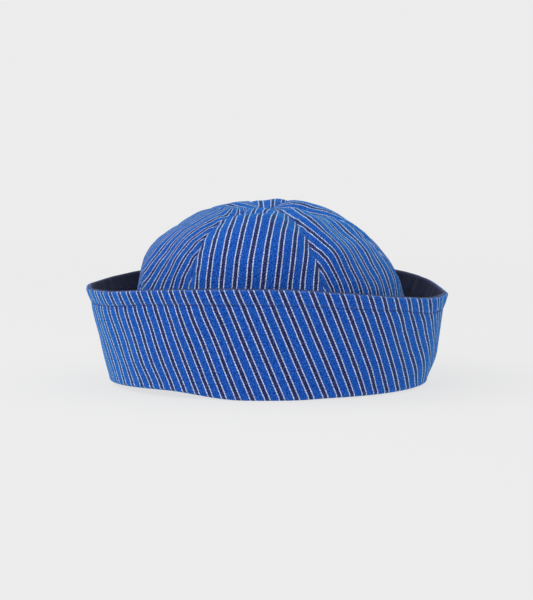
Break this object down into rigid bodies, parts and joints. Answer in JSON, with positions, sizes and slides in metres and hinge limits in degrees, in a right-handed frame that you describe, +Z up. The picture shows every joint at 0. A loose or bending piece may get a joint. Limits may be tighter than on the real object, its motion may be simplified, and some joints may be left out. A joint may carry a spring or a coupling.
{
  "type": "soft sailor hat",
  "caption": "Soft cloth sailor hat with a wedge-panelled round crown and a tall striped brim turned up all round, faced with plain navy cloth",
  "frame": {"origin": "on the table under the middle of the brim, at the bottom of the bounding box", "axes": "+Z up out of the crown, -Y towards the front of the hat, +X towards the right of the picture, which is the wearer's left side"},
  "size_m": [0.22, 0.2318, 0.1117],
  "materials": {
    "striped_cloth": "blue cotton twill with navy stripes edged by thin white lines, matt",
    "navy_cloth": "plain dark navy cotton with faint upright ribs, matt"
  },
  "bodies": {
    "root": {"crown_panel_front": "striped_cloth", "crown_panel_front_right": "striped_cloth", "crown_panel_back_right": "striped_cloth", "crown_panel_back": "striped_cloth", "crown_panel_back_left": "striped_cloth", "crown_panel_front_left": "striped_cloth", "brim_outer": "striped_cloth", "brim_inner_turn": "striped_cloth", "brim_facing": "navy_cloth"}
  },
  "joints": []
}
